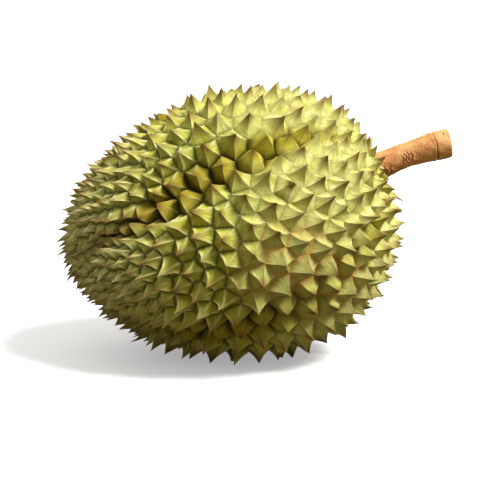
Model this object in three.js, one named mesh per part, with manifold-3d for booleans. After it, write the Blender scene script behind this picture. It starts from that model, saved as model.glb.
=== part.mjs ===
// A durian lying on its side, with the short cut stem it was picked by.
//
// Millimetres, +Z up, +X towards the stem. The husk is one solid: an egg with five lengthwise
// grooves, divided into cells, each of which rises to one pointed thorn. The lowest thorns are
// pressed flat where the fruit rests. The stem is a second solid that stands on a small flat seat
// at one end of the husk.

import * as THREE from "three";
import { ConvexHull } from "three/addons/math/ConvexHull.js";
import { mergeVertices } from "three/addons/utils/BufferGeometryUtils.js";
import Module from "manifold-3d";

// ---------------------------------------------------------------- driving dimensions

const DEG = THREE.MathUtils.degToRad(1);

const body = {
  halfLength: 134.2, // middle to end, thorns not counted
  halfWidth: 104.6, // middle to side, thorns not counted
  stemHalfFuller: 0.125, // share by which the width grows towards the stem end
  tilt: 8 * DEG, // the stem end is propped up by the fuller lobes below it
  yaw: 4 * DEG,
};

const poles = {
  stemRise: 13 * DEG, // the stem leaves the end above the long axis
  blossomDrop: 2.5 * DEG, // the blossom scar sits just below it
};

const grooves = {
  // Angles around the fruit at its widest place, from the front towards the top.
  angles: [31, 101, 170, 243, 314].map((angle) => angle * DEG),
  widestAt: 100 * DEG, // that place's angle from the stem
  twist: 0.25, // how far they wind round for each degree nearer the stem
  depths: [0.11, 0.05, 0.08, 0.06, 0.07], // as shares of the radius
  halfWidth: 13 * DEG,
};

const dimple = { depth: 0.05, halfWidth: 17 * DEG }; // the hollow around the stem

const thorns = {
  smallest: 8, // spacing at the blossom end
  largest: 21, // spacing on the open flanks
  grownAt: 98 * DEG, // angle from the blossom end where thorns reach full size
  aroundStem: 13, // spacing beside the stem
  stemFade: 88 * DEG, // angle from the stem where they reach full size
  room: 0.14, // how much further apart they stand in a groove
  variation: 0.16, // how much neighbours differ in size
  baseHeight: 4.2, // height = baseHeight + heightShare * spacing
  heightShare: 0.36,
  lean: 0.1, // chance lean of a tip, as a share of its height
  leanToBlossom: 0.45, // how far tips on the blossom half lean towards that end, likewise
  leanToStem: 0.3, // how far tips on the stem half lean towards the stem
  leanFromStem: 0.9, // how far the tips right beside the stem lean away from it
};

// Degrees from the stem between which each lean comes in or dies away.
const leanZones = {
  fromStemEnds: [9, 24],
  toStemStarts: [24, 45],
  toStemEnds: [64, 88],
  toBlossomStarts: [84, 112],
};

const seat = {
  ring: 10, // thorns standing around it
  ringRadius: 23.5,
  clearance: 7.8, // from that ring to the next thorns, at least
  gap: 0.3, // between the husk and the stem
};

const stem = {
  length: 65,
  radius: 10.7,
  baseRadius: 12.4,
  scarAt: 0.8, // place of the ring scar along the stem
  scarRadius: 11.8,
  endRadius: 11.2,
  startAngle: 27 * DEG, // rise above the ground at the seat
  droop: 17 * DEG, // how far it bends down by its cut end
  sides: 28,
};

const pressedDepth = 4.7; // how much of the lowest thorn the ground takes away

// How the places of the thorns are found.
const spreading = {
  samples: 24000, // directions tried for the first places
  cellShare: 0.866, // area of a six-sided cell, as a share of its spacing squared
  reachShare: 0.56, // two thorns push while closer than this share of their summed spacings
  pushShare: 0.28, // how much of the overlap one step takes away
  steps: 70,
};

// ---------------------------------------------------------------- shape of the body

/** A repeatable stream of numbers from 0 to 1. */
function numberStream(seed) {
  let state = seed >>> 0;
  return () => {
    state = (state + 0x6d2b79f5) >>> 0;
    let mixed = Math.imul(state ^ (state >>> 15), 1 | state);
    mixed = (mixed + Math.imul(mixed ^ (mixed >>> 7), 61 | mixed)) ^ mixed;
    return ((mixed ^ (mixed >>> 14)) >>> 0) / 4294967296;
  };
}

/** 0 below low, 1 above high, and smooth between. */
function smooth(low, high, value) {
  return THREE.MathUtils.smoothstep(value, low, high);
}

const stemPole = new THREE.Vector3(Math.cos(poles.stemRise), 0, Math.sin(poles.stemRise));
const blossomPole = new THREE.Vector3(-Math.cos(poles.blossomDrop), 0, -Math.sin(poles.blossomDrop));
const poleMiddle = stemPole.clone().add(blossomPole).multiplyScalar(0.5);
const growthAxis = stemPole.clone().sub(blossomPole).normalize();
const frontSide = new THREE.Vector3(0, -1, 0);
const upperSide = frontSide.clone().cross(growthAxis);

/**
 * Where a direction from the middle lies on the fruit: its angle from the stem, and its angle
 * around the fruit. The two poles aren't quite opposite, so directions are counted from a point
 * halfway between them.
 */
function growthAngles(direction) {
  const seen = direction.clone().sub(poleMiddle).normalize();
  return {
    fromStem: Math.acos(THREE.MathUtils.clamp(seen.dot(growthAxis), -1, 1)),
    around: Math.atan2(seen.dot(upperSide), seen.dot(frontSide)),
  };
}

/** How deep in a groove a direction lies: 0 on a lobe, 1 along a groove's floor. */
function grooveShare(angles, index) {
  const wound = grooves.twist * (grooves.widestAt - angles.fromStem);
  const turn = angles.around - grooves.angles[index] - wound;
  const away = Math.atan2(Math.sin(turn), Math.cos(turn));
  const fade = Math.pow(Math.sin(angles.fromStem), 0.6);
  return Math.exp(-((away / grooves.halfWidth) ** 2)) * fade;
}

function deepestGroove(angles) {
  return Math.max(...grooves.angles.map((_, index) => grooveShare(angles, index)));
}

/** Distance from the middle to the plain egg. */
function eggRadius(direction) {
  const across = Math.hypot(direction.y, direction.z);
  let radius = body.halfWidth;
  for (let step = 0; step < 12; step += 1) {
    const along = (radius * direction.x) / body.halfLength;
    const width = body.halfWidth * (1 + body.stemHalfFuller * along);
    radius = 1 / Math.hypot(direction.x / body.halfLength, across / width);
  }
  return radius;
}

/** The point where a direction from the middle leaves the body, thorns not counted. */
function bodyPoint(direction) {
  const angles = growthAngles(direction);
  let share = 1;
  grooves.depths.forEach((depth, index) => {
    share -= depth * grooveShare(angles, index);
  });
  share -= dimple.depth * Math.exp(-((angles.fromStem / dimple.halfWidth) ** 2));
  return direction.clone().multiplyScalar(eggRadius(direction) * share);
}

/** Two unit vectors square to a direction and to each other. */
function crossDirections(direction) {
  const helper = Math.abs(direction.z) < 0.9 ? new THREE.Vector3(0, 0, 1) : new THREE.Vector3(1, 0, 0);
  const first = helper.cross(direction).normalize();
  return [first, direction.clone().cross(first)];
}

/** The body's outward normal where a direction leaves it. */
function bodyNormal(direction) {
  const reach = 0.03;
  const [first, second] = crossDirections(direction);
  const at = (side, amount) => bodyPoint(direction.clone().addScaledVector(side, amount).normalize());
  const alongFirst = at(first, reach).sub(at(first, -reach));
  const alongSecond = at(second, reach).sub(at(second, -reach));
  return alongFirst.cross(alongSecond).normalize();
}

// ---------------------------------------------------------------- where the thorns stand

/** Distance from one thorn to the next around a direction. */
function thornSpacing(direction) {
  const angles = growthAngles(direction);
  const fromBlossom = Math.PI - angles.fromStem;
  const grown = smooth(0, thorns.grownAt, fromBlossom);
  const open = THREE.MathUtils.lerp(thorns.smallest, thorns.largest, grown);
  const nearStem = 1 - smooth(0, thorns.stemFade, angles.fromStem);
  const spacing = THREE.MathUtils.lerp(open, thorns.aroundStem, nearStem);
  const room = thorns.room * deepestGroove(angles) * smooth(0.1, 0.9, grown);
  return spacing * (1 + room);
}

/** Even directions on a sphere, in a spiral from one end to the other. */
function spiralDirections(count) {
  const goldenAngle = Math.PI * (3 - Math.sqrt(5));
  return Array.from({ length: count }, (_, index) => {
    const along = 1 - (2 * index + 1) / count;
    const across = Math.sqrt(1 - along * along);
    const turn = goldenAngle * index;
    return new THREE.Vector3(along, across * Math.cos(turn), across * Math.sin(turn));
  });
}

/** A first set of thorn places, with as many in each area as its spacing leaves room for. */
function firstPlaces(random) {
  const samples = spiralDirections(spreading.samples);
  const solidAngle = (4 * Math.PI) / samples.length;
  const places = [];
  let room = random();
  for (const direction of samples) {
    const point = bodyPoint(direction);
    const facing = bodyNormal(direction).dot(direction);
    const area = (point.lengthSq() * solidAngle) / facing;
    const spacing = thornSpacing(direction);
    room += area / (spreading.cellShare * spacing * spacing);
    if (room >= 1) {
      room -= 1;
      places.push(direction);
    }
  }
  return places;
}

/** The fixed places at the stem: the seat itself and the ring of thorns around it. */
function stemPlaces() {
  const [first, second] = crossDirections(stemPole);
  const distance = bodyPoint(stemPole).length();
  const ring = Array.from({ length: seat.ring }, (_, index) => {
    const turn = (2 * Math.PI * index) / seat.ring;
    return stemPole
      .clone()
      .addScaledVector(first, (seat.ringRadius / distance) * Math.cos(turn))
      .addScaledVector(second, (seat.ringRadius / distance) * Math.sin(turn))
      .normalize();
  });
  return [stemPole.clone(), ...ring];
}

/** Pushes crowded places apart until each has about its own spacing. */
function settle(places, fixedCount, random) {
  const sizes = places.map(() => 1 + thorns.variation * (2 * random() - 1));
  for (let step = 0; step < spreading.steps; step += 1) {
    const points = places.map(bodyPoint);
    const spacings = places.map((place, index) => thornSpacing(place) * sizes[index]);
    const pushes = places.map(() => new THREE.Vector3());
    for (let one = 0; one < places.length; one += 1) {
      for (let other = one + 1; other < places.length; other += 1) {
        const wanted = spreading.reachShare * (spacings[one] + spacings[other]);
        const gap = points[one].clone().sub(points[other]);
        const distance = gap.length();
        if (distance < wanted) {
          gap.multiplyScalar((spreading.pushShare * (wanted - distance)) / Math.max(distance, 0.01));
          pushes[one].add(gap);
          pushes[other].sub(gap);
        }
      }
    }
    for (let index = fixedCount; index < places.length; index += 1) {
      places[index] = points[index].add(pushes[index]).normalize();
    }
  }
  return places;
}

// ---------------------------------------------------------------- the husk

/** The corners around each place, in order, where it meets its neighbours. */
function cellCorners(places) {
  const hull = new ConvexHull().setFromPoints(places);
  const indexOf = new Map(places.map((place, index) => [place, index]));
  const cells = places.map(() => []);
  const corners = [];
  for (const face of hull.faces) {
    const corner = corners.length;
    corners.push(bodyPoint(face.normal.clone().normalize()));
    let edge = face.edge;
    do {
      cells[indexOf.get(edge.head().point)].push(corner);
      edge = edge.next;
    } while (edge !== face.edge);
  }
  cells.forEach((cell, index) => {
    const [first, second] = crossDirections(places[index]);
    const turn = (corner) => Math.atan2(corners[corner].dot(second), corners[corner].dot(first));
    cell.sort((one, other) => turn(one) - turn(other));
  });
  return { cells, corners };
}

/** How far a tip leans away from the stem, as a share of its height; below 0 it leans towards it. */
function leanAwayFromStem(place) {
  const { fromStem } = growthAngles(place);
  const past = ([low, high]) => smooth(low * DEG, high * DEG, fromStem);
  const onBlossomHalf = past(leanZones.toBlossomStarts);
  const onStemHalf = past(leanZones.toStemStarts) * (1 - past(leanZones.toStemEnds));
  const besideStem = 1 - past(leanZones.fromStemEnds);
  const { leanToBlossom, leanToStem, leanFromStem } = thorns;
  return leanToBlossom * onBlossomHalf - leanToStem * onStemHalf + leanFromStem * besideStem;
}

/** A thorn's tip: out from the body, leaning along the fruit and a little by chance. */
function thornTip(place, ring, random) {
  const base = bodyPoint(place);
  const reach = ring.reduce((sum, corner) => sum + corner.distanceTo(base), 0) / ring.length;
  const spacing = 2 * reach * Math.cos(30 * DEG);
  const height = thorns.baseHeight + thorns.heightShare * spacing;
  const [first, second] = crossDirections(place);
  const chanceTurn = 2 * Math.PI * random();
  const awayFromStem = place.clone().sub(stemPole).projectOnPlane(place).normalize();
  return base
    .addScaledVector(bodyNormal(place), height)
    .addScaledVector(awayFromStem, leanAwayFromStem(place) * height)
    .addScaledVector(first, thorns.lean * height * Math.cos(chanceTurn))
    .addScaledVector(second, thorns.lean * height * Math.sin(chanceTurn));
}

/** Drops the seat's corners onto one plane square to the stem, and returns its middle. */
function flattenSeat(ring, stemDirection) {
  const middle = ring.reduce((sum, corner) => sum.add(corner), new THREE.Vector3());
  middle.multiplyScalar(1 / ring.length);
  for (const corner of ring) {
    corner.addScaledVector(stemDirection, middle.clone().sub(corner).dot(stemDirection));
  }
  return middle;
}

/** The whole thorny skin as one closed geometry, and the middle of its stem seat. */
function thornyHusk(stemDirection) {
  const random = numberStream(41);
  const fixedPlaces = stemPlaces();
  const clearOfStem = Math.cos((seat.ringRadius + seat.clearance) / body.halfLength);
  const freePlaces = firstPlaces(random).filter((place) => place.dot(stemPole) < clearOfStem);
  const places = settle([...fixedPlaces, ...freePlaces], fixedPlaces.length, random);
  const { cells, corners } = cellCorners(places);
  const seatMiddle = flattenSeat(cells[0].map((corner) => corners[corner]), stemDirection);

  const points = [...corners];
  const triangles = [];
  cells.forEach((cell, index) => {
    const ring = cell.map((corner) => corners[corner]);
    const tip = points.length;
    points.push(index === 0 ? seatMiddle : thornTip(places[index], ring, random));
    cell.forEach((corner, place) => {
      triangles.push(tip, corner, cell[(place + 1) % cell.length]);
    });
  });
  const geometry = new THREE.BufferGeometry().setFromPoints(points);
  geometry.setIndex(triangles);
  return { geometry, seatMiddle };
}

// ---------------------------------------------------------------- cutting the resting place

const wasm = await Module();
wasm.setup();

/** The same closed geometry as a solid that can be cut. */
function asSolid(geometry) {
  const vertProperties = new Float32Array(geometry.getAttribute("position").array);
  const triVerts = new Uint32Array(geometry.getIndex().array);
  return new wasm.Manifold(new wasm.Mesh({ numProp: 3, vertProperties, triVerts }));
}

function asGeometry(solid) {
  const mesh = solid.getMesh();
  const geometry = new THREE.BufferGeometry();
  geometry.setAttribute("position", new THREE.BufferAttribute(new Float32Array(mesh.vertProperties), 3));
  geometry.setIndex(Array.from(mesh.triVerts));
  return geometry;
}

/** A block that fills everything below a height. */
function groundBlock(top) {
  const size = 4 * body.halfLength;
  const block = new THREE.BoxGeometry(size, size, size);
  block.translate(0, 0, top - size / 2);
  block.deleteAttribute("normal");
  block.deleteAttribute("uv");
  return mergeVertices(block);
}

/** Takes away what reaches below the ground, so that the lowest thorns end in flats. */
function pressFlat(geometry) {
  geometry.computeBoundingBox();
  const ground = geometry.boundingBox.min.z + pressedDepth;
  const pressed = asSolid(geometry).subtract(asSolid(groundBlock(ground)));
  return { geometry: asGeometry(pressed), ground };
}

// ---------------------------------------------------------------- the stem

/** Radius and place along the stem of each turned step, from the seat to the cut end. */
function stemProfile() {
  const { length, radius, baseRadius, scarRadius, endRadius } = stem;
  const scar = stem.scarAt * length;
  return [
    [0, 0],
    [baseRadius - 0.6, 0],
    [baseRadius, 0.8],
    [baseRadius - 0.5, 4],
    [radius + 0.4, 9],
    [radius, 16],
    [radius - 0.3, 26],
    [radius, 36],
    [radius + 0.3, scar - 5],
    [scarRadius, scar - 1.6],
    [scarRadius - 0.9, scar],
    [scarRadius + 0.1, scar + 1.4],
    [endRadius, scar + 4],
    [endRadius, length - 2],
    [endRadius - 1.2, length - 0.3],
    [endRadius - 3.5, length],
    [0, length - 0.4],
  ].map(([across, along]) => new THREE.Vector2(across, along));
}

/** Bends a shape that stands along +Z over towards -X, by an angle that grows with height. */
function droopOver(geometry) {
  const bendRadius = stem.length / stem.droop;
  const position = geometry.getAttribute("position");
  for (let index = 0; index < position.count; index += 1) {
    const across = position.getX(index);
    const turn = position.getZ(index) / bendRadius;
    position.setX(index, across * Math.cos(turn) + bendRadius * (1 - Math.cos(turn)));
    position.setZ(index, (bendRadius - across) * Math.sin(turn));
  }
}

/** The stem, standing on the seat and rising along its start direction. */
function stemGeometry(seatMiddle) {
  const geometry = new THREE.LatheGeometry(stemProfile(), stem.sides);
  geometry.rotateX(Math.PI / 2);
  droopOver(geometry);
  geometry.rotateY(Math.PI / 2 - stem.startAngle);
  geometry.rotateZ(body.yaw);
  geometry.translate(seatMiddle.x, seatMiddle.y, seatMiddle.z);
  return geometry;
}

// ---------------------------------------------------------------- assembly

const pose = new THREE.Matrix4()
  .makeRotationZ(body.yaw)
  .multiply(new THREE.Matrix4().makeRotationY(-body.tilt));

const stemDirection = new THREE.Vector3(Math.cos(stem.startAngle), 0, Math.sin(stem.startAngle));
stemDirection.applyAxisAngle(new THREE.Vector3(0, 0, 1), body.yaw);
const stemDirectionInBody = stemDirection.clone().applyMatrix4(pose.clone().invert());

const { geometry: skin, seatMiddle } = thornyHusk(stemDirectionInBody);
skin.applyMatrix4(pose);
seatMiddle.applyMatrix4(pose).addScaledVector(stemDirection, seat.gap);
const { geometry: huskGeometry, ground } = pressFlat(skin);

const husk = new THREE.Mesh(
  huskGeometry,
  new THREE.MeshStandardMaterial({ color: 0xa6a552, roughness: 0.6, metalness: 0, flatShading: true }),
);
husk.name = "husk";

const stemMesh = new THREE.Mesh(
  stemGeometry(seatMiddle),
  new THREE.MeshStandardMaterial({ color: 0xb5713f, roughness: 0.75, metalness: 0 }),
);
stemMesh.name = "stem";

const durian = new THREE.Group();
durian.add(husk, stemMesh);

// The origin is on the ground, under the middle of the whole fruit.
const extent = new THREE.Box3().setFromObject(durian, true);
const middle = extent.getCenter(new THREE.Vector3());
durian.position.set(-middle.x, -middle.y, -ground);
durian.updateMatrixWorld(true);

export default durian;
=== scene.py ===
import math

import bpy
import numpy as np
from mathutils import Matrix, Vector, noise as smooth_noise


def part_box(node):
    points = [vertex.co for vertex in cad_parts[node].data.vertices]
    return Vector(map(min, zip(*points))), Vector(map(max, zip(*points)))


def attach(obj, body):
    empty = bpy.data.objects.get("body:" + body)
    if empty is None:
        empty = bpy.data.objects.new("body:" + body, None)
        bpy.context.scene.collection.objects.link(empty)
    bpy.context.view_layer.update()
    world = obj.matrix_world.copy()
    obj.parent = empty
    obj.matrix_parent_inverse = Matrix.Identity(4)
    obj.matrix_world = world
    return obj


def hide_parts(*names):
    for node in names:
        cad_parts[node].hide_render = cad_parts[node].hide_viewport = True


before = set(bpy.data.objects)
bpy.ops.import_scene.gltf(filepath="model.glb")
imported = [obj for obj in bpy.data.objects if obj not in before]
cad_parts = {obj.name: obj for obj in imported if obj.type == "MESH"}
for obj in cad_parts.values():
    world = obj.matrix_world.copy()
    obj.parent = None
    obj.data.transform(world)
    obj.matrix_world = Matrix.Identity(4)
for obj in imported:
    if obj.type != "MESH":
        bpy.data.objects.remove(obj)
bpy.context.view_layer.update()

# %% [markdown]
# # A whole durian, thorn by thorn
#
# A durian is one grown husk with about 740 thorns, and a short woody stem. The frame that was
# just loaded holds the CAD version of both: plain pyramids and a plain turned stem. Here each of
# them is replaced by a finer mesh that keeps the same places and sizes. Everything is in metres.

MM = 0.001

# %% [markdown]
# ## The camera
#
# The fruit is seen from its side and from a little above, through a long lens, so that it fills
# the view without bulging towards the viewer. The camera is made first, because then every
# later step can be looked at straight away. An empty object could be tracked with a
# constraint, but one rotation worked out from the aim is easier to follow.

# %% Camera
VIEW_HEIGHT = math.radians(12)
VIEW_DISTANCE = 1.4
AIM_RIGHT = 5.7 * MM
AIM_DOWN = 16.4 * MM
LENS_LENGTH = 128  # in mm
FARTHEST_SEEN = 20

husk_low, husk_high = (Vector(corner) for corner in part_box("husk"))
towards_camera = Vector((0, -math.cos(VIEW_HEIGHT), math.sin(VIEW_HEIGHT)))
view_up = Vector((0, math.sin(VIEW_HEIGHT), math.cos(VIEW_HEIGHT)))
aim = (husk_low + husk_high) / 2 + Vector((AIM_RIGHT, 0, 0)) - AIM_DOWN * view_up

camera = bpy.data.objects.new("camera", bpy.data.cameras.new("camera"))
camera.data.lens = LENS_LENGTH
camera.location = aim + VIEW_DISTANCE * towards_camera
camera.rotation_euler = towards_camera.to_track_quat("Z", "Y").to_euler()
camera.data.clip_end = FARTHEST_SEEN
bpy.context.collection.objects.link(camera)
bpy.context.scene.camera = camera
print("camera at", tuple(round(value, 3) for value in camera.location))

# %% [markdown]
# ## Reading the thorns
#
# In the CAD husk every thorn is a pyramid: one tip, and a ring of corners that it shares with
# its neighbours. A tip is easy to find, because it stands further from the middle of the fruit
# than every point it is joined to. Thorns that the ground has pressed flat have no tip, only a
# few points at height zero. The imported mesh keeps a separate copy of each point for each
# face, so the copies are joined first. The thorns could also be scattered anew, but then what
# is seen and what is simulated wouldn't be the same fruit.

# %% The CAD husk as joined points and triangles
JOIN_DISTANCE = 0.01 * MM


def joined(node):
    """The points and triangles of a CAD node, with copies of a point made one."""
    mesh = node.data
    mesh.calc_loop_triangles()
    copies = np.array([tuple(node.matrix_world @ vertex.co) for vertex in mesh.vertices])
    keys = np.round(copies / JOIN_DISTANCE).astype(int)
    _, first, number = np.unique(keys, axis=0, return_index=True, return_inverse=True)
    number = number.reshape(-1)
    triangles = number[np.array([tuple(one.vertices) for one in mesh.loop_triangles])]
    return copies[first], triangles


cad_points, cad_triangles = joined(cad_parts["husk"])
print("CAD husk:", len(cad_points), "points,", len(cad_triangles), "triangles")

# %% Which points and faces are joined
def neighbours(triangles, count):
    """For each of this many points, the points it is joined to."""
    beside = [set() for _ in range(count)]
    for a, b, c in triangles:
        beside[a].update((b, c))
        beside[b].update((a, c))
        beside[c].update((a, b))
    return beside


beside = neighbours(cad_triangles, len(cad_points))
faces_at = [set() for _ in cad_points]
for face, triangle in enumerate(cad_triangles):
    for point in triangle:
        faces_at[point].add(face)
print("most points joined to one:", max(len(others) for others in beside))

# %% Tips and pressed flats
BODY_MIDDLE = np.array([-19.81, -0.3, 110.43]) * MM  # the middle of the egg under the thorns
GROUND = 0.01 * MM  # points below this touch the ground

reach = np.linalg.norm(cad_points - BODY_MIDDLE, axis=1)
pressed = {point for point in range(len(cad_points)) if cad_points[point][2] < GROUND}
tips = [
    point
    for point in range(len(cad_points))
    if point not in pressed and all(reach[point] > reach[other] for other in beside[point])
]
thorn_middles = [{tip} for tip in tips]
left = set(pressed)
while left:
    flat, waiting = set(), [min(left)]
    while waiting:
        point = waiting.pop()
        if point in left:
            left.discard(point)
            flat.add(point)
            waiting.extend(beside[point] & pressed)
    thorn_middles.append(flat)
print(len(tips), "pointed thorns,", len(thorn_middles) - len(tips), "pressed ones")


# %% The ring of corners around each thorn
def ring_around(middle_points):
    """The closed row of corners around a tip, or around the flat that stands for one."""
    following = {}
    for face in {face for point in middle_points for face in faces_at[point]}:
        a, b, c = cad_triangles[face]
        for start, end in ((a, b), (b, c), (c, a)):
            if start not in middle_points and end not in middle_points:
                following[start] = end
    ring = [next(iter(following))]
    while following[ring[-1]] != ring[0]:
        ring.append(following[ring[-1]])
    return ring


rings = [ring_around(middle) for middle in thorn_middles]
corner_counts = [len(ring) for ring in rings]
print("corners around a thorn:", min(corner_counts), "to", max(corner_counts))

# %% The seat of the stem
tip_or_flat = set(tips) | pressed
seat_faces = [tri for tri in cad_triangles if not any(point in tip_or_flat for point in tri)]
seat_points = sorted({int(point) for tri in seat_faces for point in tri})
seat_middle_point = min(
    seat_points,
    key=lambda point: np.linalg.norm(cad_points[point] - cad_points[seat_points].mean(axis=0)),
)
seat_middle = cad_points[seat_middle_point]
seat_cross = sum(
    np.cross(cad_points[b] - cad_points[a], cad_points[c] - cad_points[a]) for a, b, c in seat_faces
)
seat_direction = seat_cross / np.linalg.norm(seat_cross)
seat_ring = ring_around({seat_middle_point})
print("seat at", seat_middle.round(4), "facing", seat_direction.round(3), "corners", len(seat_ring))

# %% [markdown]
# ## Where a thorn stands on the fruit
#
# A durian's thorns aren't all alike. Along the five lengthwise grooves, where the husk later
# splits, they are crowded, blunt and bulging like grains of maize. At the blossom end they are
# small and lie back like scales. So each place gets two angles, one from the stem and one around
# the fruit, and from them comes how deep in a groove it lies.

# %% Angles on the fruit
STEM_AXIS = np.array([0.9601, 0.0671, 0.2714])
UPPER_SIDE = np.array([-0.2708, -0.0189, 0.9625])
FRONT_SIDE = np.array([0.0698, -0.9976, 0.0])
POLE_MIDDLE = np.array([-0.0248, -0.0017, 0.0881])
GROOVES = np.radians([31, 101, 170, 243, 314])  # around the fruit where it is widest
GROOVES_WIDEST = math.radians(100)
GROOVES_TWIST = 0.25  # how far they wind round for each degree nearer the stem
GROOVE_HALF_WIDTH = math.radians(13)
GROOVE_ENDS = 0.6  # how slowly the grooves run out towards both ends; 0 would be never


def fade(low, high, value):
    """0 below low, 1 above high, and smooth between."""
    share = np.clip((value - low) / (high - low), 0, 1)
    return share * share * (3 - 2 * share)


def growth(point):
    """Angle from the stem, angle around the fruit, and depth in a groove, of a place."""
    direction = point - BODY_MIDDLE
    direction = direction / np.linalg.norm(direction) - POLE_MIDDLE
    direction = direction / np.linalg.norm(direction)
    from_stem = math.acos(np.clip(direction @ STEM_AXIS, -1, 1))
    around = math.atan2(direction @ UPPER_SIDE, direction @ FRONT_SIDE)
    wound = GROOVES_TWIST * (GROOVES_WIDEST - from_stem)
    away = np.angle(np.exp(1j * (around - GROOVES - wound)))
    shares = np.exp(-((away / GROOVE_HALF_WIDTH) ** 2)) * math.sin(from_stem) ** GROOVE_ENDS
    return from_stem, around, float(shares.max())


front_example = growth(BODY_MIDDLE + FRONT_SIDE)
print("front of the fruit:", [round(value, 2) for value in front_example])

# %% [markdown]
# ## The outline of one thorn
#
# Seen from the side a thorn is a spire: it rises slowly from the valley around it, steepens, and
# ends in a fine dry tip. The faces between its ridges are hollow, as in a tent. A thorn in a
# groove is the other way round, full at the shoulders and blunt at the top. A subdivided
# pyramid with a displacement could give that too, but its ridges would melt away. Here the
# height is one short formula, and every row of points follows it.

# %% Height of a thorn's surface
SPIRE_SHARE = 0.42  # how much of the height belongs to the steep part
SLOPE, STEEP = 1.06, 2.8  # how fast the even part and the steep part rise
SHOULDER, CROWN = 2.3, 0.85  # how full a blunt thorn is at its side and its top
HOLLOW = 0.09  # how hollow the faces of a spire are halfway up
BLUNT_BULGE = 1.6  # how soon the hollow turns into a bulge as a thorn gets blunter


def height_share(outward, blunt, between):
    """Height from 0 in the valley to 1 at the tip. outward runs from 0 at the tip's axis to 1 in
    the valley, and between from 0 on a ridge to 1 midway between two."""
    inward = 1 - outward
    spire = (1 - SPIRE_SHARE) * inward**SLOPE + SPIRE_SHARE * inward**STEEP
    kernel = (1 - outward**SHOULDER) ** CROWN
    hollow = HOLLOW * (1 - BLUNT_BULGE * blunt) * 4 * outward * inward  # deepest halfway up
    return (1 - blunt) * spire + blunt * kernel - hollow * between


for outward in (0.75, 0.5, 0.25):
    spire, kernel = (round(float(height_share(outward, blunt, 0)), 2) for blunt in (0, 1))
    print("outward", outward, "spire", spire, "kernel", kernel)

# %% Which way the CAD skin faces at each point
point_normals = np.zeros_like(cad_points)
for a, b, c in cad_triangles:
    cross = np.cross(cad_points[b] - cad_points[a], cad_points[c] - cad_points[a])
    for point in (a, b, c):
        point_normals[point] += cross
point_normals /= np.linalg.norm(point_normals, axis=1)[:, None]
print("directions worked out for", len(point_normals), "points")

# %% [markdown]
# ## Where each thorn points
#
# On the real fruit no two thorns are alike. They turn a little towards the light, the ones at
# the blossom end are laid back, and here and there a tip has broken off. Each thorn could be
# shaped by hand, but there are over seven hundred. A few rules and a little seeded chance do it.

# %% The corners that carry a ridge
FEWEST_RIDGES, MOST_RIDGES = 4, 5
CLEAR_RIDGE = 0.55  # a ridge further out than this share of the thorn's size is kept as a fifth


def main_ridges(corners, foot):
    """The corners that carry a ridge. The least prominent ones are left out one by one."""
    kept = list(range(len(corners)))
    size = np.linalg.norm(corners - foot, axis=1).mean()
    while len(kept) > FEWEST_RIDGES:
        prominence = []
        for place, corner in enumerate(kept):
            before, after = corners[kept[place - 1]], corners[kept[(place + 1) % len(kept)]]
            across = np.linalg.norm(np.cross(corners[corner] - before, after - before))
            prominence.append(across / np.linalg.norm(after - before))
        least = int(np.argmin(prominence))
        if prominence[least] > CLEAR_RIDGE * size and len(kept) <= MOST_RIDGES:
            break
        kept.pop(least)
    return kept


first_corners = cad_points[rings[0]]
first_ridges = main_ridges(first_corners, first_corners.mean(axis=0))
print("ridges of the first thorn:", len(first_ridges), "from", len(first_corners), "corners")

# %% The tip of each thorn
# Pairs are where a change begins and where it is complete.
BLOSSOM_END = math.radians(95), math.radians(140)  # from the stem to the blossom end's thorns
STEM_END = math.radians(12), math.radians(30)  # from the stem's own thorns to the others
BLUNT_DEPTH = 0.45, 0.85  # depth in a groove, for thorns to be blunt
BLUNT_START = 0.6, 1.2  # angle from the stem in radians, for the same
BLUNTEST = 0.75
TALLER = 1.04  # height of every thorn, as a share of its CAD height
BLOSSOM_TALLER = 0.3  # and how much is added at the blossom end
GROOVE_LOWER = 0.3  # and taken away where thorns are bluntest
SIZE_CHANCE = 0.84, 1.16  # smallest and largest size by chance
UPRIGHT = 0.2  # tips turn a little towards the light, as a share of their height
UPRIGHT_FACING = -0.3, 0.3  # how far the skin faces up, for tips to turn up
BLOSSOM_LAID_BACK = 0.7  # how much less they do so at the blossom end
CHANCE_LEAN = 0.09  # how far tips stray by chance, as a share of their height
BLOSSOM_CHANCE_LEAN = 0.16
BROKEN = 0.035  # share of thorns with a broken tip
BLOSSOM_WHOLE = 0.5  # nearer to the blossom end than this, no tips are broken
BROKEN_HEIGHT, BROKEN_BLUNT = 0.8, 0.45
PRESSED_REACH = 1.5  # how far a pressed thorn would have reached, as a share of what is left

rng = np.random.default_rng(7)


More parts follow.
